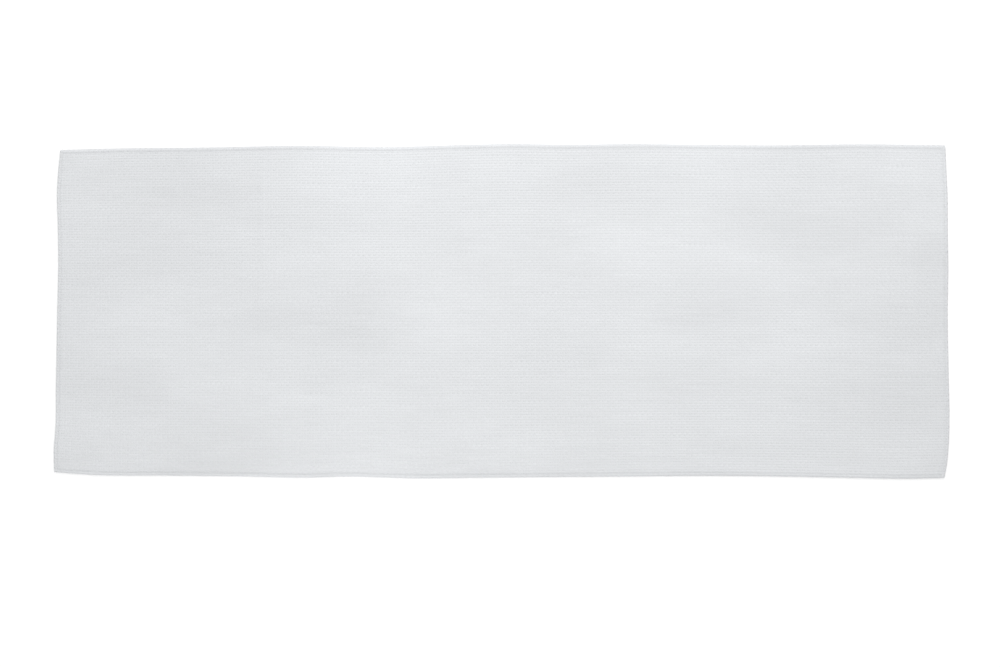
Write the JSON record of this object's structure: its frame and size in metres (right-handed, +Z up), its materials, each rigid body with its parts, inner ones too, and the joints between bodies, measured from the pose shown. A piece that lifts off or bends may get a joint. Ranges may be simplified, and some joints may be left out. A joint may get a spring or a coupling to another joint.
{
  "type": "table runner",
  "caption": "Rectangular woven cotton table runner lying flat, with double-turned, mitred hems held by rows of lockstitch.",
  "frame": {"origin": "centre of the runner on the surface it lies on", "axes": "+X along the length, +Y across the width towards the back edge, +Z up out of the face"},
  "size_m": [1.2, 0.445, 0.0044],
  "materials": {
    "woven_cotton": "white cotton in a coarse ribbed weave, matt",
    "hem_cotton": "the same white cotton, turned under twice",
    "sewing_thread": "white spun polyester thread, faint sheen"
  },
  "bodies": {
    "root": {"woven_panel": "woven_cotton", "hem_front": "hem_cotton", "hem_back": "hem_cotton", "hem_left": "hem_cotton", "hem_right": "hem_cotton", "needle_thread_front": "sewing_thread", "needle_thread_back": "sewing_thread", "needle_thread_left": "sewing_thread", "needle_thread_right": "sewing_thread", "bobbin_thread_front": "sewing_thread", "bobbin_thread_back": "sewing_thread", "bobbin_thread_left": "sewing_thread", "bobbin_thread_right": "sewing_thread"}
  },
  "joints": []
}
